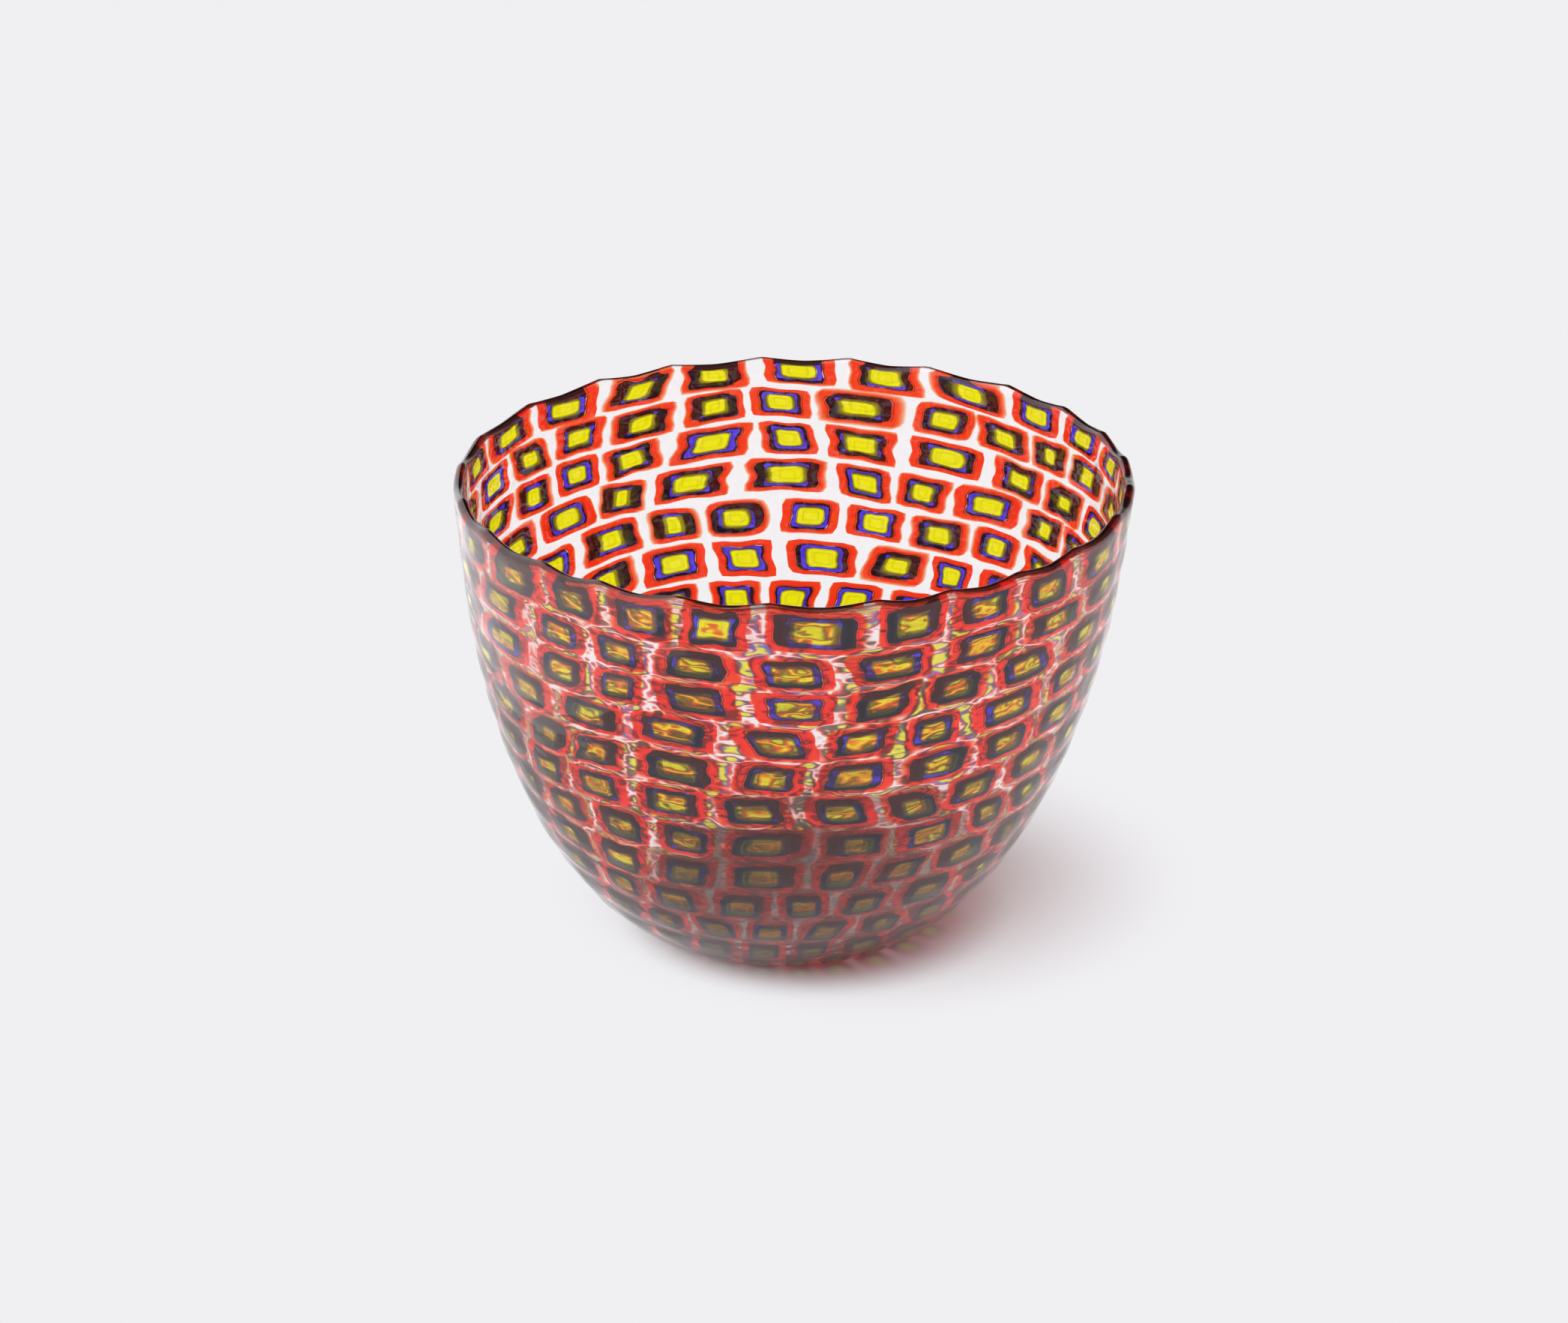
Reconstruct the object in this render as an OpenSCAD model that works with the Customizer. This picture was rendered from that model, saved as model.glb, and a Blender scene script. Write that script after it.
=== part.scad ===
// Deep glass bowl of fused cane tiles.
// Each tile is a slice of cane: a yellow core in a dark violet ring, in a red casing, in clear glass.
// The slices run right through the wall, and their clear casings are fused edge to edge in courses.
// Origin at the middle of the foot, on the table. +Z is up.

/* [Bowl] */
// Outer diameter at the lip
lip_d = 200; // [160:1:250]
// Height from the table to the top of the lip
bowl_h = 141; // [110:0.5:180]
// Diameter of the flat foot
foot_d = 82; // [66:1:100]
// How far the wall leans out between the shoulder and the lip
lip_flare = 7.5; // [2:0.5:14]
// Height of the shoulder handle: the lower it is, the fuller the belly
belly_z = 22; // [12:1:40]
// How far the underside runs on level before it turns up into the wall
foot_lead = 4; // [2:0.5:8]

/* [Glass] */
// Thickness of the glass at the lip
lip_t = 3.4; // [2.4:0.1:5]
// Thickness of the glass at the foot
foot_t = 5; // [3.6:0.1:8]
// Gap left along the fusing line between two slices of one course
seam = 0.06; // [0.02:0.01:0.2]

/* [Courses] */
// Courses of tiles in the wall
courses = 12; // [8:1:12]
// Tiles in each course of the wall
tiles_round = 24; // [16:1:30]
// How much taller the lowest course is than the one under the lip
course_growth = 1.36; // [1:0.02:1.8]
// How far the width of a tile may stray from the mean, as a share
width_scatter = 0.2; // [0:0.02:0.3]
// Seed of the scatter
scatter_seed = 7; // [1:1:99]

/* [Underside] */
// Rings of tiles in the flat underside
base_rings = 3; // [2:1:4]
// Width of a tile in the underside
base_tile_w = 13; // [9:0.5:20]
// Radius of the round slice that closes the middle
closing_r = 6; // [4:0.5:9]

/* [Cane] */
// Outside of the red casing, as a share of its slice
red_share = 0.85; // [0.8:0.01:0.92]
// Outside of the violet ring, as a share of its slice
violet_share = 0.62; // [0.55:0.01:0.72]
// Outside of the yellow core, as a share of its slice
yellow_share = 0.44; // [0.3:0.01:0.5]

/* [Hidden] */
$fn = 128;
LAYERS = ["clear_casings", "red_casings", "violet_rings", "yellow_cores"];

lip_r = lip_d / 2;
foot_r = foot_d / 2;
// A cut reaches this far past both faces of the glass
over = 1;
profile_steps = 240;
lip_steps = 8;

// Outside of each layer of the cane, from the clear casing in, as a share of the slice
shares = [1, red_share, violet_share, yellow_share];
colours = ["white", [0.9, 0.12, 0.06], [0.17, 0.09, 0.5], [0.9, 0.85, 0.05]];
opacities = [0.35, 1, 1, 1];

function two_digits(k) = k < 10 ? str("0", k) : str(k);
function total(v, i = 0) = i < len(v) ? v[i] + total(v, i + 1) : 0;
function mix(a, b, t) = a + (b - a) * t;
function unit(v) = v / norm(v);

// ---- The outline of the outside, as one curve from the foot to the lip ----
outline = [
    [foot_r, 0],
    [foot_r + foot_lead, 0],
    [lip_r - lip_flare, belly_z],
    [lip_r, bowl_h - lip_t / 2]
];
function on_outline(t) =
    pow(1 - t, 3) * outline[0] + 3 * t * pow(1 - t, 2) * outline[1]
    + 3 * t * t * (1 - t) * outline[2] + pow(t, 3) * outline[3];
function along_outline(t) =
    pow(1 - t, 2) * (outline[1] - outline[0]) + 2 * t * (1 - t) * (outline[2] - outline[1])
    + t * t * (outline[3] - outline[2]);

// Pairs of [length from the foot, t], so that a length gives its place on the curve
lengths = [
    for (i = 0, s = 0; i <= profile_steps;
         s = s + norm(on_outline((i + 1) / profile_steps) - on_outline(i / profile_steps)),
         i = i + 1)
    [s, i / profile_steps]
];
wall_length = lengths[profile_steps][0];

// A cut across the glass, as its point on the outside and its point on the inside.
// The cuts at the foot and at the lip are square to the table.
function cut_at(t) =
    let (p = on_outline(t), d = unit(along_outline(t)), thick = mix(foot_t, lip_t, t))
    t <= 0 ? [p, [foot_r, foot_t]]
    : t >= 1 ? [p, [lip_r - lip_t, p[1]]]
    : [p, p + thick * [-d[1], d[0]]];

// Heights of the courses, which grow from the lip to the foot and fill the wall
course_weights = [for (k = [0:courses - 1]) mix(1, course_growth, k / (courses - 1))];
course_cuts = [
    for (k = 0, s = wall_length; k <= courses;
         s = s - (k < courses ? course_weights[k] : 0) / total(course_weights) * wall_length,
         k = k + 1)
    cut_at(k == 0 ? 1 : k == courses ? 0 : lookup(s, lengths))
];

// ---- Slices of cane ----
// Ends of the tiles of one course, as angles. Each course starts half a tile on from the last.
function tile_ends(count, course, scatter) =
    let (
        widths = rands(1 - scatter, 1 + scatter, count, scatter_seed + course),
        whole = total(widths),
        start = (course % 2) * 180 / count
    )
    [
        for (i = 0, a = start; i <= count; a = a + (i < count ? widths[i] : 0) * 360 / whole, i = i + 1)
        a
    ];

// The section of a slice between two cuts across the glass, shrunk about its middle to a share
function section(upper, lower, share, reach) =
    let (
        a = (1 - share) / 2,
        top = [mix(upper[0], lower[0], a), mix(upper[1], lower[1], a)],
        low = [mix(upper[0], lower[0], 1 - a), mix(upper[1], lower[1], 1 - a)],
        top_out = reach * unit(top[0] - top[1]),
        low_out = reach * unit(low[0] - low[1])
    )
    [low[1] - low_out, low[0] + low_out, top[0] + top_out, top[1] - top_out];

// The same section for the slices under the lip, with the lip's round on it
function lip_section(upper, lower) = concat(
    [lower[1], lower[0]],
    [
        for (i = [0:lip_steps])
        let (a = 180 * i / lip_steps)
        mix(upper[0], upper[1], 0.5) + lip_t / 2 * [cos(a), sin(a)]
    ]
);

module turned(points, from, to) {
    rotate([0, 0, from])
        rotate_extrude(angle = to - from)
            polygon(points);
}

// One layer of one slice: its own outline, less the layers inside it
module layer_of_slice(upper, lower, from, to, layer, under_lip = false) {
    middle = (from + to) / 2;
    half = (to - from) / 2;
    outside = shares[layer];
    difference() {
        turned(
            under_lip && layer == 0 ? lip_section(upper, lower) : section(upper, lower, outside, 0),
            middle - half * outside, middle + half * outside
        );
        if (layer < len(shares) - 1) {
            inside = shares[layer + 1];
            turned(
                section(upper, lower, inside, over),
                middle - half * inside, middle + half * inside
            );
        }
    }
}

// One layer of every slice in a ring. Half the seam comes off each end of each slice.
module layer_of_ring(upper, lower, count, course, scatter, layer, under_lip = false) {
    ends = tile_ends(count, course, scatter);
    half_seam = seam / 2 / lower[0][0] * 180 / PI;
    for (i = [0:count - 1])
        layer_of_slice(upper, lower, ends[i] + half_seam, ends[i + 1] - half_seam, layer, under_lip);
}

module wall_course(course, layer) {
    color(colours[layer], opacities[layer])
        layer_of_ring(
            course_cuts[course - 1], course_cuts[course],
            tiles_round, course, width_scatter, layer, course == 1
        );
}

// ---- The flat underside ----
ring_w = (foot_r - closing_r) / base_rings;

function level_cut(r) = [[r, 0], [r, foot_t]];

module closing_slice(layer) {
    difference() {
        cylinder(r = (closing_r - seam) * shares[layer], h = foot_t);
        if (layer < len(shares) - 1)
            translate([0, 0, -over])
                cylinder(r = (closing_r - seam) * shares[layer + 1], h = foot_t + 2 * over);
    }
}

module underside(layer) {
    color(colours[layer], opacities[layer]) {
        for (ring = [0:base_rings - 1]) {
            outer = foot_r - ring * ring_w;
            inner = outer - ring_w;
            count = round(PI * (outer + inner) / base_tile_w);
            layer_of_ring(
                level_cut(outer - (ring == 0 ? 0 : seam / 2)), level_cut(inner + seam / 2),
                count, courses + 1 + ring, 0, layer
            );
        }
        closing_slice(layer);
    }
}

for (layer = [0:len(LAYERS) - 1]) {
    for (k = [1:courses])
        wall_course(k, layer);
    underside(layer);
}
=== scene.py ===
"""Deep bowl of fused cane tiles: red, violet and yellow glass set right through a clear wall.

The clear wall is one refracting skin. Every cane tile stands in it as three separate glasses, whose
places come from the frame's slices, and each is warped as hand-laid and blown tiles are.
"""
import math

import bmesh
import bpy
import numpy as np
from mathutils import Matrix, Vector


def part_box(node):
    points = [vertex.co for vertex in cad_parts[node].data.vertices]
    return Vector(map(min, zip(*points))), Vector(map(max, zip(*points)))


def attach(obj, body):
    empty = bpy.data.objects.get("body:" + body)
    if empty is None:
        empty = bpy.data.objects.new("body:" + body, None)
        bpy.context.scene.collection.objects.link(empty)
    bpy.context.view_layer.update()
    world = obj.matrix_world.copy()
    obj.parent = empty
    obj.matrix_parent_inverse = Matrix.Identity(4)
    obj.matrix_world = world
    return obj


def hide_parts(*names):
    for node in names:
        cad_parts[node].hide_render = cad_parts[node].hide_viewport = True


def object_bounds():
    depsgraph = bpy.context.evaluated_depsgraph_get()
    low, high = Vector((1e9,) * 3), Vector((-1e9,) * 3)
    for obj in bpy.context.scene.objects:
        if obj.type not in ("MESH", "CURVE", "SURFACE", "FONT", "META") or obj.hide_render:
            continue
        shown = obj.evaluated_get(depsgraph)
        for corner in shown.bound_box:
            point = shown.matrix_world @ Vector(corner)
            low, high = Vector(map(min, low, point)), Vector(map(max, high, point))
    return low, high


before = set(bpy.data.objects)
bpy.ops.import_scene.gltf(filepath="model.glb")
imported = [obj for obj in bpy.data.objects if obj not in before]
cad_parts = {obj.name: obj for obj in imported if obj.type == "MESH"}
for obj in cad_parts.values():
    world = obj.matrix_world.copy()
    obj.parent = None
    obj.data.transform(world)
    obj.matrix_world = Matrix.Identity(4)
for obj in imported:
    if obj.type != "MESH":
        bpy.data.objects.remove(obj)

CAD_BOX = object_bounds()
MM = 0.001
TURN = 2 * math.pi

# ---- Sizes of the glass, in the frame ----
COURSES = 12
LIP_R = (CAD_BOX[1][0] - CAD_BOX[0][0]) / 2
HEIGHT = CAD_BOX[1][2]
FOOT_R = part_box("base_clear_casings")[1][0]
FOOT_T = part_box("base_clear_casings")[1][2]
LIP_T = 3.4 * MM
FOOT_LEAD = 4 * MM
LIP_FLARE = 7.5 * MM
BELLY_Z = 22 * MM

# ---- How the blower's hand shows ----
LEAN = 0.0252           # the rim stands to the right of the foot by this share of the height
SNUG = 0.999            # the wall is drawn in to this, so that it leans within the frame's box
TILT = 3.0 * MM         # the courses ride up at the back by this much, and down at the front
TILT_FADE = 11 * MM     # at the front the top course is drawn out over this length to meet the lip
ROW_WAVE = 0.7 * MM     # the courses wander up and down by about this much
COLUMN_WAVE = 1.8 * MM  # and the columns of tiles from side to side by about this much
# Each of those waves: how many round the bowl, how fast it turns up the wall, start and height
ROW_WAVES = ((5, 40, 0.6, 1.0), (9, -70, 2.1, 0.6))
COLUMN_WAVES = ((3, 55, 1.1, 1.0), (7, -85, 4.0, 0.7))
FOOT_FADE = 60 * MM     # all of this sets in over this length above the foot
LIP_ROOM = 1.25 * MM    # tiles reach this far up into the round of the lip
LIP_CRUSH = 2.5 * MM    # glass that rides up to less than this below that is crushed
LIP_REACH = 1.0 * MM    # the top course reaches this far past the lip before it is crushed
LIP_DROOP = 0.5 * MM    # and this far down over its joint with the next
LIP_DIP = 1.5 * MM      # the lip dips over each tile, and crests over the clear joints
DIP_ROUND = 1.5         # the higher, the flatter a dip and the sharper a crest
DIP_FADE = 12 * MM      # the dips fade out over this length below the lip
ROW_RELIEF = 0.12 * MM  # both faces swell by this over each course
TILE_RELIEF = 0.30 * MM  # and by this over each tile
INSIDE_RELIEF = 0.6     # share of that relief on the inside
RELIEF_FOOT_FADE = 28 * MM  # the relief sets in over this length above the foot
RELIEF_LIP_FADE = 7 * MM    # and fades out over this length below the lip
INSET = 0.06            # tiles stop short of both faces by this share of the wall
GAP = 0.012             # hairline between one glass of a tile and the next, as a share of the tile

# ---- Shapes of the three glasses of a tile: outside, as shares of the slice's width and height ----
RED_OUT = (0.89, 0.905)
VIOLET_OUT = (0.60, 0.65)
YELLOW_OUT = (0.405, 0.45)
OUTLINE_POINTS = 24
CORE_FACE = 0.42        # how far in from its edge a core has its inner ring of points

# ---- How uneven the tiles are: spreads about the mean, as shares of half a slice ----
# For red, violet and yellow: the least that its sides are pinched in, and how much more the most
# pulled of the slices are; and the same for how square its corners are
PINCH = ((0.02, 0.10), (0.02, 0.16), (0, 0.03))
SQUARE = ((5, 5), (5, 4), (4.2, 3.5))
SKEW = 0.07             # how far the upright sides lean
TWIST = 0.05            # how far the level sides tip
SHIFT = 0.035           # how far the tile is out of the middle of its slice
SCALE = 0.03            # how much larger or smaller each of its glasses is
SCALE_RANGE = (0.93, 1.06)
WAVES = 5               # waves in its outline
WAVE = 0.022            # and their height
SLANT = 0.07            # how far a cut side slants through the wall, in the straightest of the tiles
MORE_SLANT = 0.13       # and how much more it slants in the most slanted
RED_FOLLOWS = (0.3, 1.3)  # the least and most that the red's outside follows a tile's slant
VIOLET_FOLLOWS = 1.3
YELLOW_FOLLOWS = 0.7
OWN_SLANT = 0.025       # how far each glass slants by itself
SLANT_LIMIT = 0.29
MEAN_TONE = 0.5         # of the round slice in the underside
MEAN_PULL = 0.5
COURSE_SEED = 1000      # seed of a course's first tile, times the number of the course
BASE_SEED = 50000       # seed of the underside's first tile

# ---- How finely the wall is divided ----
ROUND_STEPS = 384
WALL_STEPS = (112, 84)  # outside and inside, between the foot and the lip
BASE_STEPS = (18, 14)   # outside and inside, from the middle to the foot
LIP_STEPS = 11
MERGE = 0.001 * MM      # points of a slice closer than this are one
SPIN_MERGE = 0.002 * MM
SMOOTH_ANGLE = math.radians(40)


def smooth(x):
    """0 below 0, 1 above 1, and a soft step between."""
    x = np.clip(x, 0, 1)
    return x * x * (3 - 2 * x)


# ---- The outline of the wall: one curve from the foot to the lip ----
HANDLES = np.array([
    (FOOT_R, 0),
    (FOOT_R + FOOT_LEAD, 0),
    (LIP_R - LIP_FLARE, BELLY_Z),
    (LIP_R, HEIGHT - LIP_T / 2),
])
STEPS = 800
T = np.linspace(0, 1, STEPS + 1)
CURVE = ((1 - T) ** 3)[:, None] * HANDLES[0] + (3 * T * (1 - T) ** 2)[:, None] * HANDLES[1] \
    + (3 * T * T * (1 - T))[:, None] * HANDLES[2] + (T ** 3)[:, None] * HANDLES[3]
LENGTHS = np.concatenate([[0], np.cumsum(np.linalg.norm(np.diff(CURVE, axis=0), axis=1))])
WALL = LENGTHS[-1]


def section(s, w):
    """Radius and height of a point s along the outside from the foot, and w of the way into the wall."""
    t = np.interp(s, LENGTHS, T)
    r, z = np.interp(s, LENGTHS, CURVE[:, 0]), np.interp(s, LENGTHS, CURVE[:, 1])
    slope = (
        ((1 - t) ** 2)[..., None] * (HANDLES[1] - HANDLES[0])
        + (2 * t * (1 - t))[..., None] * (HANDLES[2] - HANDLES[1])
        + (t * t)[..., None] * (HANDLES[3] - HANDLES[2])
    )
    slope /= np.linalg.norm(slope, axis=-1)[..., None]
    thick = FOOT_T + (LIP_T - FOOT_T) * t
    past = np.maximum(s - WALL, 0)
    w = 0.5 + (w - 0.5) * np.sqrt(1 - (past / (LIP_T / 2)) ** 2)
    return r + np.minimum(s, 0) - w * thick * slope[..., 1], z + past + w * thick * slope[..., 0]


# ---- Where the frame's slices of cane are ----
def islands(node):
    """The points of each separate solid of a node."""
    bm = bmesh.new()
    bm.from_mesh(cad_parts[node].data)
    bmesh.ops.remove_doubles(bm, verts=bm.verts, dist=MERGE)
    left, found = set(bm.verts), []
    while left:
        todo, points = [left.pop()], []
        while todo:
            vert = todo.pop()
            points.append(vert.co[:])
            for edge in vert.link_edges:
                other = edge.other_vert(vert)
                if other in left:
                    left.remove(other)
                    todo.append(other)
        found.append(np.array(points))
    bm.free()
    return found


def spread(points):
    """The middle of a solid's run of angles round the bowl, and half that run."""
    angles = np.arctan2(points[:, 1], points[:, 0])
    first = np.arctan2(np.sin(angles).mean(), np.cos(angles).mean())
    turned = (angles - first + math.pi) % TURN - math.pi
    middle = first + (turned.max() + turned.min()) / 2
    return middle % TURN, (turned.max() - turned.min()) / 2


class Tile:
    """One slice of cane: where it is, and how the heat left it."""

    def __init__(self, middle, half, low, high, seed):
        chance = np.random.default_rng(seed)
        self.middle = middle
        self.half = half
        self.s = (low + high) / 2
        self.half_s = (high - low) / 2
        self.tone = chance.random()
        # How far the heat pulled the slice out of true. The core is pinched and squared by itself.
        self.pull = chance.random()
        pulls = (self.pull, self.pull, chance.random())
        self.pinch = [least + more * pull for (least, more), pull in zip(PINCH, pulls)]
        pulls = (self.pull, self.pull, chance.random())
        self.corner = [least + more * pull for (least, more), pull in zip(SQUARE, pulls)]
        self.skew = chance.normal(0, SKEW)
        self.twist = chance.normal(0, TWIST)
        self.scale = chance.normal(1, SCALE, (3, 2)).clip(*SCALE_RANGE)
        self.shift = chance.normal(0, SHIFT, 2)
        self.waves = chance.normal(0, WAVE, WAVES)
        self.phases = chance.uniform(0, TURN, WAVES)
        slant = chance.normal(0, SLANT + MORE_SLANT * chance.random(), 2)
        follows = np.array([chance.uniform(*RED_FOLLOWS), VIOLET_FOLLOWS, YELLOW_FOLLOWS])
        self.slants = follows[:, None] * slant + chance.normal(0, OWN_SLANT, (3, 2))
        self.slants = self.slants.clip(-SLANT_LIMIT, SLANT_LIMIT)

    def outline(self, layer, share, around, depth):
        """The outline of one layer at a depth in the wall, in the slice's own square.

        The square runs from -1 to 1 each way. Layer 0 is the outside of the red, 1 that of the
        violet and 2 that of the yellow.
        """
        c, s = np.cos(around), np.sin(around)
        n = self.corner[layer]
        far = (np.abs(c) ** n + np.abs(s) ** n) ** (-1 / n)
        far = far * (1 - self.pinch[layer] * np.cos(2 * around) ** 2)
        for k in range(WAVES):
            far = far * (1 + self.waves[k] * np.cos((k + 1) * around + self.phases[k]))
        lean = (depth - 0.5)[:, None] * self.slants[layer]
        return lean + np.stack([
            far * c * share[0] * self.scale[layer, 0],
            far * s * share[1] * self.scale[layer, 1],
        ], axis=-1)


def course_tiles():
    """The lengths where courses of the wall meet, from the lip down, and the tiles of each course."""
    cuts, courses = [WALL], []
    for k in range(1, COURSES + 1):
        node = f"clear_casings_{k:02d}"
        cuts.append(float(np.interp(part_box(node)[0][2], CURVE[:, 1], LENGTHS)))
        places = sorted(spread(points) for points in islands(node))
        low = cuts[k] - (LIP_DROOP if k == 1 else 0)
        high = cuts[k - 1] + (LIP_REACH if k == 1 else 0)
        courses.append([
            Tile(middle, half, low, high, COURSE_SEED * k + i)
            for i, (middle, half) in enumerate(places)
        ])
    return cuts, courses


def underside_tiles():
    """The tiles of the flat underside, ring by ring, and the radius of the round one in the middle."""
    rings, closing = [], 0
    for i, points in enumerate(islands("base_clear_casings")):
        far = np.hypot(points[:, 0], points[:, 1])
        middle, half = spread(points)
        if half > math.pi / 2:
            closing = far.max()
        else:
            rings.append((middle, half, far.min() - FOOT_R, far.max() - FOOT_R))
    rings.sort()
    return [Tile(*ring, BASE_SEED + i) for i, ring in enumerate(rings)], closing


CUTS, WALL_TILES = course_tiles()
BASE_TILES, CLOSING_R = underside_tiles()
TOP_JOINTS = np.array([tile.middle - tile.half for tile in WALL_TILES[0]])


# ---- The hand-made form of the wall ----
def between(angle, joints):
    """-1 at one joint to 1 at the next, for each angle round the bowl."""
    first = joints[0]
    turned = (angle - first) % TURN
    places = np.append((joints - first) % TURN, TURN)
    order = np.interp(turned, places, np.arange(len(places)))
    return 2 * (order % 1) - 1


def waved(waves, angle, s):
    """The sum of these waves at an angle, and a length up the wall."""
    return sum(
        height * np.sin(count * angle + turning * s + start)
        for count, turning, start, height in waves
    )


def sway(angle, s):
    """How far the courses and columns of tiles wander, as an angle and a length."""
    rise = TILT * np.sin(angle) + ROW_WAVE * waved(ROW_WAVES, angle, s)
    aside = COLUMN_WAVE / LIP_R * waved(COLUMN_WAVES, angle, s)
    rise = np.maximum(rise, 0) + np.minimum(rise, 0) * smooth((WALL - s) / TILT_FADE)
    return aside * smooth(s / FOOT_FADE), rise * smooth(s / FOOT_FADE)


def crushed(s):
    """Where glass comes to rest that would have ridden up past the lip."""
    below = WALL + LIP_ROOM - s
    squeezed = LIP_CRUSH * np.exp(np.minimum(below, LIP_CRUSH) / LIP_CRUSH - 1)
    return WALL + LIP_ROOM - np.where(below > LIP_CRUSH, below, squeezed)


def swell(angle, s):
    """How deep the outside is sunk at a point: not at all over the middle of a tile."""
    aside, rise = sway(angle, s)
    angle, s = angle - aside, s - rise
    cuts = np.array(CUTS)
    course = np.clip(np.searchsorted(-cuts, -s) - 1, 0, COURSES - 1)
    v = 2 * (s - cuts[course + 1]) / (cuts[course] - cuts[course + 1]) - 1
    u = np.zeros_like(s)
    for k, tiles in enumerate(WALL_TILES):
        joints = np.array([tile.middle - tile.half for tile in tiles])
        u[course == k] = between(angle[course == k], joints)
    rows = np.cos(np.clip(v, -1, 1) * math.pi / 2)
    columns = np.cos(u * math.pi / 2) ** 2
    sunk = ROW_RELIEF * (1 - rows ** 2) + TILE_RELIEF * (1 - rows * columns)
    return sunk * smooth(s / RELIEF_FOOT_FADE) * smooth((WALL - s) / RELIEF_LIP_FADE)


def place(angle, s, w):
    """The point in the frame that is s along the wall and w of the way through it, relief included."""
    outside, inside = np.stack(section(s, 0 * w)), np.stack(section(s, 0 * w + 1))
    through = inside - outside
    through /= np.linalg.norm(through, axis=0)
    sunk = swell(angle, s)
    outside = outside + through * sunk
    inside = inside - through * sunk * INSIDE_RELIEF
    return form(angle, s, *(outside + (inside - outside) * w))


def form(angle, s, r, z):
    """The point in the frame at an angle, radius and height, once the lip dips and the bowl leans."""
    dip = LIP_DIP * (1 - np.abs(between(angle, TOP_JOINTS)) ** DIP_ROUND)
    z = z - dip * smooth((s - WALL + DIP_FADE) / DIP_FADE)
    r = r * SNUG
    return np.stack([r * np.cos(angle) + LEAN * (z - HEIGHT), r * np.sin(angle), z], axis=-1)


# ---- Making meshes ----
def start_edit():
    bpy.ops.object.mode_set(mode="EDIT")


def end_edit():
    bpy.ops.object.mode_set(mode="OBJECT")


def nothing_selected():
    bpy.ops.object.select_all(action="DESELECT")


def taken(obj):
    """The points and faces of a master shape, which is then removed."""
    mesh = obj.data
    points = np.array([v.co[:] for v in mesh.vertices])
    faces = [tuple(p.vertices) for p in mesh.polygons]
    bpy.data.objects.remove(obj)
    return points, faces


def ring_master():
    """A round ring from radius 1 to 2 and one unit deep."""
    bpy.ops.mesh.primitive_circle_add(vertices=OUTLINE_POINTS, radius=1, fill_type="NOTHING")
    start_edit()
    bpy.ops.mesh.select_all(action="SELECT")
    bpy.ops.mesh.extrude_edges_move()
    bpy.ops.transform.resize(value=(2, 2, 1))
    bpy.ops.mesh.select_all(action="SELECT")
    bpy.ops.mesh.extrude_region_move(TRANSFORM_OT_translate={"value": (0, 0, 1)})
    bpy.ops.mesh.select_all(action="SELECT")
    bpy.ops.mesh.normals_make_consistent(inside=False)
    end_edit()
    return taken(bpy.context.object)


def core_master():
    """A round plug of radius 1 and one unit deep, with an inner ring of points on both faces."""
    bpy.ops.mesh.primitive_circle_add(vertices=OUTLINE_POINTS, radius=1, fill_type="NGON")
    start_edit()
    bpy.ops.mesh.select_all(action="SELECT")
    bpy.ops.mesh.inset(thickness=CORE_FACE)
    bpy.ops.mesh.select_all(action="SELECT")
    bpy.ops.mesh.extrude_region_move(TRANSFORM_OT_translate={"value": (0, 0, 1)})
    bpy.ops.mesh.select_all(action="SELECT")
    bpy.ops.mesh.normals_make_consistent(inside=False)
    bpy.ops.mesh.select_all(action="DESELECT")
    bpy.ops.mesh.select_mode(type="FACE")
    end_edit()
    for polygon in bpy.context.object.data.polygons:
        polygon.select = len(polygon.vertices) > 4
    start_edit()
    bpy.ops.mesh.poke()
    end_edit()
    return taken(bpy.context.object)


nothing_selected()
RING = ring_master()
CORE = core_master()
# For each glass: its master, the layer and share of its outside, and of the glass inside it
GLASSES = {
    "red_casings": (RING, 0, RED_OUT, 1, VIOLET_OUT),
    "violet_rings": (RING, 1, VIOLET_OUT, 2, YELLOW_OUT),
    "yellow_cores": (CORE, 2, YELLOW_OUT, 2, (0, 0)),
}


def tile_shape(tile, glass):
    """Where a master's points go on the wall for one tile, with how near each is to its outer edge."""
    (points, _), layer, share, inner_layer, inner_share = GLASSES[glass]
    around = np.arctan2(points[:, 1], points[:, 0])
    far = np.hypot(points[:, 0], points[:, 1])
    depth = points[:, 2]
    outer = tile.outline(layer, share, around, depth) * (1 - GAP)
    if glass == "yellow_cores":
        edge = far
        flat = (depth - 0.5)[:, None] * tile.slants[layer] * (1 - far[:, None]) + outer * far[:, None]
    else:
        edge = far - 1
        inner = tile.outline(inner_layer, inner_share, around, depth) * (1 + GAP)
        flat = inner + (outer - inner) * edge[:, None]
    u = flat[:, 0] + tile.skew * flat[:, 1] + tile.shift[0]
    v = flat[:, 1] + tile.twist * flat[:, 0] + tile.shift[1]
    limit = 1 - 2 * GAP
    angle = tile.middle + np.clip(u, -limit, limit) * tile.half
    s = tile.s + np.clip(v, -limit, limit) * tile.half_s
    if tile.s > 0:
        aside, rise = sway(angle, s)
        angle, s = angle + aside, crushed(s + rise)
    return place(angle, s, INSET + (1 - 2 * INSET) * depth), edge


def closing_shape(glass):
    """The same for the round slice in the middle of the underside, which is left true."""
    (points, _), _, share, _, inner_share = GLASSES[glass]
    around = np.arctan2(points[:, 1], points[:, 0])
    far = np.hypot(points[:, 0], points[:, 1])
    edge = far if glass == "yellow_cores" else far - 1
    inner = inner_share[0] * (1 + GAP)
    r = CLOSING_R * (inner + (share[0] * (1 - GAP) - inner) * edge)
    z = FOOT_T * (INSET + (1 - 2 * INSET) * points[:, 2])
    return form(around, np.full_like(r, -FOOT_R), r, z), edge


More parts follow.
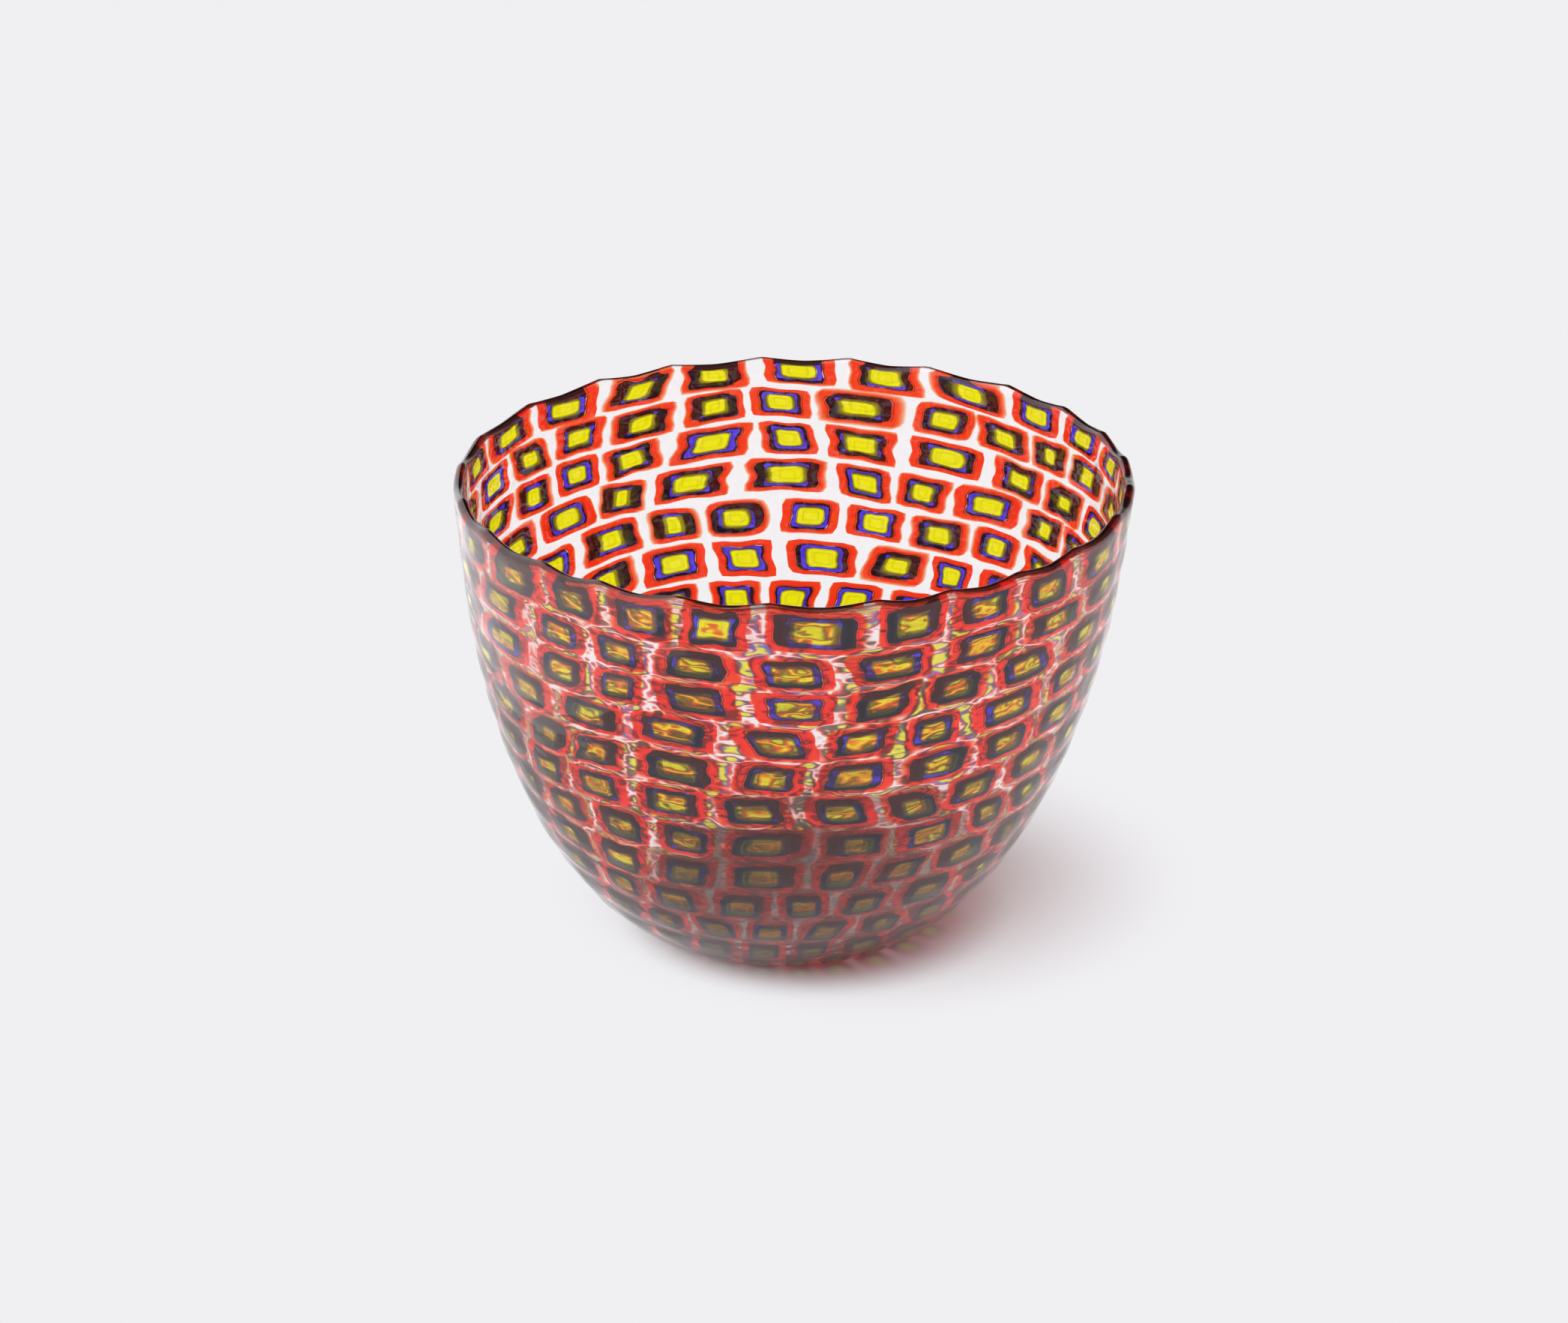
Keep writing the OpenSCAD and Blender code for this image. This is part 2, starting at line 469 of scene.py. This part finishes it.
def give(mesh, label, values):
    """Writes a number on each point of a mesh, for its material to read."""
    mesh.attributes.new(label, "FLOAT", "POINT").data.foreach_set("value", values)


def new_piece(name, mesh):
    """An object of this mesh, which alone is selected."""
    piece = bpy.data.objects.new(name, mesh)
    bpy.context.collection.objects.link(piece)
    nothing_selected()
    piece.select_set(True)
    bpy.context.view_layer.objects.active = piece
    return piece


def tiles_piece(name, glass, tiles, material, closing=False):
    """One piece: this glass of every tile in a course."""
    (points, faces), *_ = GLASSES[glass]
    shapes = [(*tile_shape(tile, glass), tile.tone, tile.pull) for tile in tiles]
    if closing:
        shapes.append((*closing_shape(glass), MEAN_TONE, MEAN_PULL))
    places, edges, tones, pulls = zip(*shapes)
    count = len(points)
    mesh = bpy.data.meshes.new(name)
    mesh.from_pydata(
        np.concatenate(places).tolist(), [],
        [tuple(i + n * count for i in face) for n in range(len(shapes)) for face in faces],
    )
    give(mesh, "edge", np.concatenate(edges))
    give(mesh, "tone", np.repeat(tones, count))
    give(mesh, "pull", np.repeat(pulls, count))
    piece = new_piece(name, mesh)
    start_edit()
    bpy.ops.mesh.select_all(action="SELECT")
    bpy.ops.mesh.normals_make_consistent(inside=False)
    end_edit()
    bpy.ops.object.shade_smooth_by_angle(angle=SMOOTH_ANGLE)
    piece.data.materials.append(material)
    return piece


def wall_profile():
    """Each point of the glass's section: radius, height, length along the wall, and how far in it is.

    The last is 0 on the outside and 1 on the inside, and runs from one to the other round the lip.
    """
    outside = np.concatenate([
        np.linspace(-FOOT_R, 0, BASE_STEPS[0])[:-1], np.linspace(0, WALL, WALL_STEPS[0]),
    ])
    inside = np.concatenate([
        np.linspace(WALL, 0, WALL_STEPS[1]), np.linspace(0, -FOOT_R, BASE_STEPS[1])[1:],
    ])
    rows = []
    for run, w in ((outside, 0.0), (inside, 1.0)):
        r, z = section(run, np.full_like(run, w))
        rows.append(np.stack([r, z, run, np.full_like(run, w)], axis=-1))
    round_lip = np.linspace(0, math.pi, LIP_STEPS)[1:-1]
    lip = np.stack([
        LIP_R - LIP_T / 2 + LIP_T / 2 * np.cos(round_lip),
        HEIGHT - LIP_T / 2 + LIP_T / 2 * np.sin(round_lip),
        np.full_like(round_lip, WALL),
        round_lip / math.pi,
    ], axis=-1)
    rows.insert(1, lip)
    profile = np.concatenate(rows)
    profile[0, 0] = profile[-1, 0] = 0
    return profile


def glass_wall(material):
    """The clear glass: its section spun round the axis, then given the hand-made form."""
    profile = wall_profile()
    mesh = bpy.data.meshes.new("glass_wall")
    mesh.from_pydata(
        [(r, 0, z) for r, z, _, _ in profile.tolist()],
        [(i, i + 1) for i in range(len(profile) - 1)], [],
    )
    give(mesh, "along", profile[:, 2])
    give(mesh, "into", profile[:, 3])
    wall = new_piece("glass_wall", mesh)
    start_edit()
    bpy.ops.mesh.select_all(action="SELECT")
    bpy.ops.mesh.spin(steps=ROUND_STEPS, angle=TURN, center=(0, 0, 0), axis=(0, 0, 1))
    bpy.ops.mesh.select_all(action="SELECT")
    bpy.ops.mesh.remove_doubles(threshold=SPIN_MERGE)
    bpy.ops.mesh.normals_make_consistent(inside=False)
    end_edit()
    mesh = wall.data
    points = np.empty(len(mesh.vertices) * 3)
    mesh.vertices.foreach_get("co", points)
    points = points.reshape(-1, 3)
    along, into = np.empty(len(points)), np.empty(len(points))
    mesh.attributes["along"].data.foreach_get("value", along)
    mesh.attributes["into"].data.foreach_get("value", into)
    angle = np.arctan2(points[:, 1], points[:, 0])
    r, z = np.hypot(points[:, 0], points[:, 1]), points[:, 2]
    walls = (into == 0) | (into == 1)
    moved = form(angle, along, r, z)
    moved[walls] = place(angle[walls], along[walls], into[walls])
    mesh.vertices.foreach_set("co", moved.ravel())
    mesh.update()
    bpy.ops.object.shade_smooth()
    wall.data.materials.append(material)
    return wall


# ---- Shader maths ----
OBJECT_PLACE = 3        # output of Texture Coordinate that gives the place in the frame


class Number:
    """A shader number that is added to, multiplied and so on as a plain one is."""

    def __init__(self, finish, socket):
        self.finish, self.socket = finish, socket

    def maths(self, operation, *values):
        return self.finish.node("ShaderNodeMath", dict(enumerate(values)), operation=operation)

    def out(self, number):
        """Another output of the same node."""
        return Number(self.finish, self.socket.node.outputs[number])

    def __add__(self, other):
        return self.maths("ADD", self, other)

    def __sub__(self, other):
        return self.maths("SUBTRACT", self, other)

    def __rsub__(self, other):
        return self.maths("SUBTRACT", other, self)

    def __mul__(self, other):
        return self.maths("MULTIPLY", self, other)

    def __pow__(self, other):
        return self.maths("POWER", self, other)

    __radd__, __rmul__ = __add__, __mul__


class Finish:
    """The shader of a material, or of the world, in the making."""

    def __init__(self, owner):
        owner.use_nodes = True
        self.owner = owner
        self.tree = owner.node_tree
        self.tree.nodes.clear()

    def node(self, kind, inputs=(), out=0, **settings):
        """Adds a node, sets what it is, then fills its sockets with values or links."""
        node = self.tree.nodes.new(kind)
        for name, value in settings.items():
            setattr(node, name, value)
        for name, value in dict(inputs).items():
            socket = node.inputs[name]
            if isinstance(value, Number):
                self.tree.links.new(value.socket, socket)
            else:
                socket.default_value = value
        return Number(self, node.outputs[out]) if node.outputs else None

    def band(self, value, low, high):
        """0 below low, 1 above high, and a soft step between."""
        return self.node(
            "ShaderNodeMapRange", {"Value": value, "From Min": low, "From Max": high},
            interpolation_type="SMOOTHSTEP",
        )

    def blend(self, share, one, other):
        """A colour that is one where share is 0 and other where it is 1."""
        return self.node("ShaderNodeMix", {0: share, 6: one, 7: other}, out=2, data_type="RGBA")

    def attribute(self, name):
        return self.node("ShaderNodeAttribute", out=2, attribute_name=name)

    def noise(self, scale, stretch=(1, 1, 1), detail=3.0, roughness=0.5):
        """A soft random pattern in the frame, this many to the metre, drawn out by stretch."""
        where = self.node("ShaderNodeTexCoord", out=OBJECT_PLACE)
        where = self.node("ShaderNodeMapping", {"Vector": where, "Scale": stretch})
        return self.node(
            "ShaderNodeTexNoise",
            {"Vector": where, "Scale": scale, "Detail": detail, "Roughness": roughness},
        )

    def mix(self, share, one, other):
        """One shader mixed with another."""
        return self.node("ShaderNodeMixShader", {0: share, 1: one, 2: other})

    def clear(self, colour=(1, 1, 1, 1)):
        return self.node("ShaderNodeBsdfTransparent", {"Color": colour})

    def rays(self, kind):
        """1 for rays of this kind, and 0 for others."""
        return self.node("ShaderNodeLightPath", out=kind)

    def done(self, kind="ShaderNodeOutputMaterial", **sockets):
        """Links the shaders to their output, and gives back the material or the world."""
        self.node(kind, sockets)
        return self.owner


def new_finish(name):
    return Finish(bpy.data.materials.new(name))


WHITE = (1, 1, 1, 1)
BLACK = (0, 0, 0, 1)

# ---- The clear glass ----
# Painted shade: a dark line painted into the glass round the lip, standing in for the dark room seen in
# its round
LIP_PAINTED_SHADE = (0.11, 0.035, 0.04, 1)
LIP_SHADE_BAND = (0.28, 0.42, 0.58, 0.72)    # where the painted shade on the lip sets in and fades out, round the lip
HAZE = 0.075            # roughness of the outside
FOOT_HAZE = 0.05        # how much rougher it is at the foot
HAZE_FADE = 60 * MM     # and over what length up the wall that fades out
SHADOW_TINT = (0.84, 0.69, 0.69, 1)
RIPPLE = 0.30 * MM      # depth of the waves left on the glass by the tools
RIPPLES = 120           # how many to the metre
RIPPLE_STRETCH = (1, 1, 1.8)


def clear_glass():
    """Clear glass, polished inside and a little hazy outside, with a dark line of painted shade round
    its lip. Lamps shine straight through it.
    """
    finish = new_finish("clear_glass")
    ripple = finish.noise(RIPPLES, RIPPLE_STRETCH, detail=1.0, roughness=0.35)
    bump = finish.node("ShaderNodeBump", {"Strength": 1.0, "Distance": RIPPLE, "Height": ripple})
    into = finish.attribute("into")
    # Painted shade on the lip, darkest over the top of its round
    painted_lip_shade = finish.band(into, *LIP_SHADE_BAND[:2]) * (1 - finish.band(into, *LIP_SHADE_BAND[2:]))
    low = 1 - finish.band(finish.attribute("along"), 0, HAZE_FADE)
    glass = finish.node("ShaderNodeBsdfPrincipled", {
        "Base Color": finish.blend(painted_lip_shade, WHITE, LIP_PAINTED_SHADE),
        "Roughness": (HAZE + FOOT_HAZE * low) * (1 - into),
        "IOR": 1.5,
        "Transmission Weight": 0.992,
        "Normal": bump,
    })
    shine_through = finish.clear(SHADOW_TINT)
    return finish.done(Surface=finish.mix(finish.rays("Is Shadow Ray"), glass, shine_through))


# ---- The coloured glasses ----
WALL_DEPTH = 4 * MM     # the depth of glass that the losses below are for
DEEPER = 0.25           # how much darker the deepest toned tile is than the palest
SOLID = 0.01            # share of coloured glass that is not clear at all


def cane_glass(name, body, detail, depth, cloud):
    """Coloured glass that darkens with the depth of it that light crosses.

    Depth is how much red, green and blue light is lost in a wall's depth, as powers of e.
    A little of the glass is opaque, as cane glass is never quite clear. Body is the colour of that,
    and it is deeper in some tiles than in others.
    Cloud is the share of each face that scatters what shines through it.
    """
    finish = new_finish(name)
    toned = finish.blend(DEEPER * finish.attribute("tone"), body, BLACK)
    colour, line = detail(finish, toned)
    opaque = finish.node("ShaderNodeBsdfPrincipled", {
        "Base Color": colour, "Roughness": 0.35, "Specular IOR Level": 0.0,
    })
    milky = finish.node("ShaderNodeBsdfTranslucent", {"Color": WHITE})
    seen = finish.mix(SOLID + line, finish.mix(cloud, finish.clear(), milky), opaque)
    surface = opaque
    for kind in ("Is Transmission Ray", "Is Glossy Ray"):
        surface = finish.mix(finish.rays(kind), surface, seen)
    surface = finish.mix(finish.rays("Is Shadow Ray"), surface, finish.clear())
    most = max(depth)
    volume = finish.node("ShaderNodeVolumeAbsorption", {
        "Color": (*(1 - d / most for d in depth), 1), "Density": most / WALL_DEPTH,
    })
    return finish.done(Surface=surface, Volume=volume)


# Each detail gives the colour of the glass, and how much more of it is solid there. The edge on its
# mesh runs from 0 at its inner outline, or the middle of a core, to 1 at its outer one.
def thread(finish, low, high):
    """A thin line round the tile between two of its outlines, which leaves its cut sides bare."""
    edge = finish.attribute("edge")
    soft = (high - low) * 0.4
    return finish.band(edge, low, low + soft) * (1 - finish.band(edge, high - soft, high))


def red_detail(finish, body):
    """Orange towards the outside of the most pulled tiles, and dark where it meets the violet."""
    uneven = 0.35 * (finish.noise(160) - 0.5)
    warm = finish.band(finish.attribute("edge") + uneven, 0.62, 1.05)
    pulled = finish.band(finish.attribute("pull"), 0.2, 0.8)
    colour = finish.blend(0.8 * warm * pulled, body, (0.98, 0.24, 0.02, 1))
    line = thread(finish, 0.01, 0.16)
    return finish.blend(line, colour, (0.02, 0.001, 0.004, 1)), 0.6 * line


def violet_detail(finish, body):
    """Black where it meets the red, and a thin dark green line where it meets the yellow."""
    outer = finish.band(finish.attribute("edge"), 0.84, 0.92)
    inner = thread(finish, 0.01, 0.2)
    colour = finish.blend(outer, body, (0.004, 0.002, 0.003, 1))
    return finish.blend(inner, colour, (0.002, 0.012, 0.01, 1)), 0.97 * outer + 0.5 * inner


def yellow_detail(finish, body):
    """A faint ring half way out, and a green rim."""
    faint = thread(finish, 0.44, 0.66)
    rim = finish.band(finish.attribute("edge"), 0.9, 0.97)
    colour = finish.blend(faint, body, (0.42, 0.36, 0.01, 1))
    return finish.blend(rim, colour, (0.03, 0.05, 0.0, 1)), 0.12 * faint + 0.5 * rim


RED_BODY = (0.78, 0.035, 0.02, 1)
VIOLET_BODY = (0.3, 0.1, 0.6, 1)
YELLOW_BODY = (0.86, 0.76, 0.01, 1)
MATERIALS = {
    "red_casings": cane_glass("red_glass", RED_BODY, red_detail, (0.02, 4.4, 7.0), 0.02),
    "violet_rings": cane_glass("violet_glass", VIOLET_BODY, violet_detail, (3.2, 4.2, 0.32), 0.0),
    "yellow_cores": cane_glass("yellow_glass", YELLOW_BODY, yellow_detail, (0.08, 0.14, 11.0), 0.02),
}


# ---- The bowl ----
wall = glass_wall(clear_glass())
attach(wall, "root")
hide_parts("base_clear_casings", *(f"clear_casings_{k:02d}" for k in range(1, COURSES + 1)))

for glass in GLASSES:
    for k, tiles in enumerate(WALL_TILES, 1):
        piece = tiles_piece(f"{glass}_course_{k:02d}", glass, tiles, MATERIALS[glass])
        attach(piece, "root")
        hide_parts(f"{glass}_{k:02d}")
    piece = tiles_piece(f"{glass}_underside", glass, BASE_TILES, MATERIALS[glass], closing=True)
    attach(piece, "root")
    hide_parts(f"base_{glass}")

# ---- The studio ----
BACKDROP = (0.871, 0.863, 0.888)
FLOOR_SHARE = 0.5       # colour of the floor paper, which lamp and room together light up to BACKDROP
FLOOR_SIZE = 40
FLOOR_DROP = 0.02 * MM  # the floor lies this far under the foot
# The floor shows the bowl's shadow whole within the first reach of each of these rounds, and not
# at all beyond the second: one round to the right of the foot, and one close about it.
SHADES = (
    ((24 * MM, 22 * MM), (12 * MM, 104 * MM)),
    ((6 * MM, -3 * MM), (38 * MM, 62 * MM)),
)
BEHIND = 1.07           # how much brighter the room is through the glass
DUSK = (0.02, 0.30)     # how steeply one looks up where the room seen in the glass turns dark
OVERHEAD = 0.03         # how bright it still is overhead
LAMP_HEIGHT = math.radians(60)
LAMP_WAY = math.radians(-2)     # the way that it shines, turned from straight to the right
LAMP_ANGLE = math.radians(60)   # how broad it looks
CARD_PLACE = (-0.18, 0.2, 0.3)
CARD_GLOW = 1.8
CAMERA_RISE = math.radians(23.7)
CAMERA_FAR = 1.5
CAMERA_AIM = Vector((-2.98 * MM, 0, 80.4 * MM))
LENS = 115.5
SENSOR = 36


def new_sheet(name, **where):
    """A flat sheet, which stands in the studio and is no part of the bowl."""
    nothing_selected()
    bpy.ops.mesh.primitive_plane_add(**where)
    sheet = bpy.context.object
    sheet.name = name
    return sheet


def floor():
    """Pale paper, which glows by itself where it takes no shadow."""
    sheet = new_sheet("floor", size=FLOOR_SIZE, location=(0, 0, -FLOOR_DROP))
    finish = new_finish("floor_paper")
    where = finish.node("ShaderNodeTexCoord", out=OBJECT_PLACE)
    across = finish.node("ShaderNodeSeparateXYZ", {0: where})
    back = across.out(1)
    glowing = 1
    for middle, reach in SHADES:
        far = ((across - middle[0]) ** 2 + (back - middle[1]) ** 2) ** 0.5
        glowing = glowing * finish.band(far, *reach)
    papers = []
    for bright in (BEHIND, 1):
        tint = [FLOOR_SHARE * bright * c / BACKDROP[1] for c in BACKDROP]
        lit = finish.node("ShaderNodeBsdfDiffuse", {"Color": (*tint, 1)})
        glow = finish.node("ShaderNodeEmission", {"Color": (*BACKDROP, 1), "Strength": bright})
        papers.append(finish.mix(glowing, lit, glow))
    paper = finish.mix(finish.rays("Is Camera Ray"), *papers)
    sheet.data.materials.append(finish.done(Surface=paper))


def card():
    """A bright upright card close on the left, which is seen only as a sheen on the glass."""
    sheet = new_sheet("card", size=1, location=CARD_PLACE, rotation=(0, math.pi / 2, 0))
    finish = new_finish("bright_card")
    glow = finish.node("ShaderNodeEmission", {"Color": (*BACKDROP, 1), "Strength": CARD_GLOW})
    sheet.data.materials.append(finish.done(Surface=glow))
    sheet.visible_camera = False
    sheet.visible_diffuse = False
    sheet.visible_transmission = False
    sheet.visible_shadow = False
    sheet.visible_volume_scatter = False


def room():
    """A pale room, which is dark overhead where it is seen in or through the glass."""
    world = bpy.data.worlds.new("studio")
    bpy.context.scene.world = world
    sky = Finish(world)
    up = sky.node("ShaderNodeSeparateXYZ", {0: sky.node("ShaderNodeTexCoord")}, out=2)
    dark = sky.band(up, *DUSK) * (1 - OVERHEAD)
    colour = (*BACKDROP, 1)
    dim = sky.node("ShaderNodeBackground", {"Color": colour, "Strength": BEHIND * (1 - dark)})
    plain = sky.node("ShaderNodeBackground", {"Color": colour})
    seen = plain
    for kind in ("Is Transmission Ray", "Is Glossy Ray"):
        seen = sky.mix(sky.rays(kind), seen, dim)
    seen = sky.mix(sky.rays("Is Camera Ray"), seen, plain)
    sky.done("ShaderNodeOutputWorld", Surface=seen)


def key_lamp():
    """One broad lamp high on the left, as strong as brings the floor up to BACKDROP."""
    lamp = bpy.data.lights.new("key", "SUN")
    lamp.angle = LAMP_ANGLE
    lamp.energy = (1 / FLOOR_SHARE - 1) * BACKDROP[1] * math.pi / math.sin(LAMP_HEIGHT)
    holder = bpy.data.objects.new("key", lamp)
    holder.visible_glossy = False
    holder.visible_transmission = False
    bpy.context.collection.objects.link(holder)
    shines = Vector((
        math.cos(LAMP_HEIGHT) * math.cos(LAMP_WAY),
        math.cos(LAMP_HEIGHT) * math.sin(LAMP_WAY),
        -math.sin(LAMP_HEIGHT),
    ))
    holder.rotation_euler = shines.to_track_quat("-Z", "Y").to_euler()


def camera():
    """Stands in front, above the rim, and looks down into the bowl."""
    lens = bpy.data.cameras.new("camera")
    lens.lens = LENS
    lens.sensor_width = SENSOR
    lens.clip_end = 100
    holder = bpy.data.objects.new("camera", lens)
    bpy.context.collection.objects.link(holder)
    back = Vector((0, -math.cos(CAMERA_RISE), math.sin(CAMERA_RISE)))
    holder.location = CAMERA_AIM + CAMERA_FAR * back
    holder.rotation_euler = (-back).to_track_quat("-Z", "Y").to_euler()
    bpy.context.scene.camera = holder


floor()
card()
room()
key_lamp()
camera()
scene = bpy.context.scene
scene.view_settings.view_transform = "Standard"
scene.cycles.max_bounces = 24
scene.cycles.transmission_bounces = 20
scene.cycles.transparent_max_bounces = 64
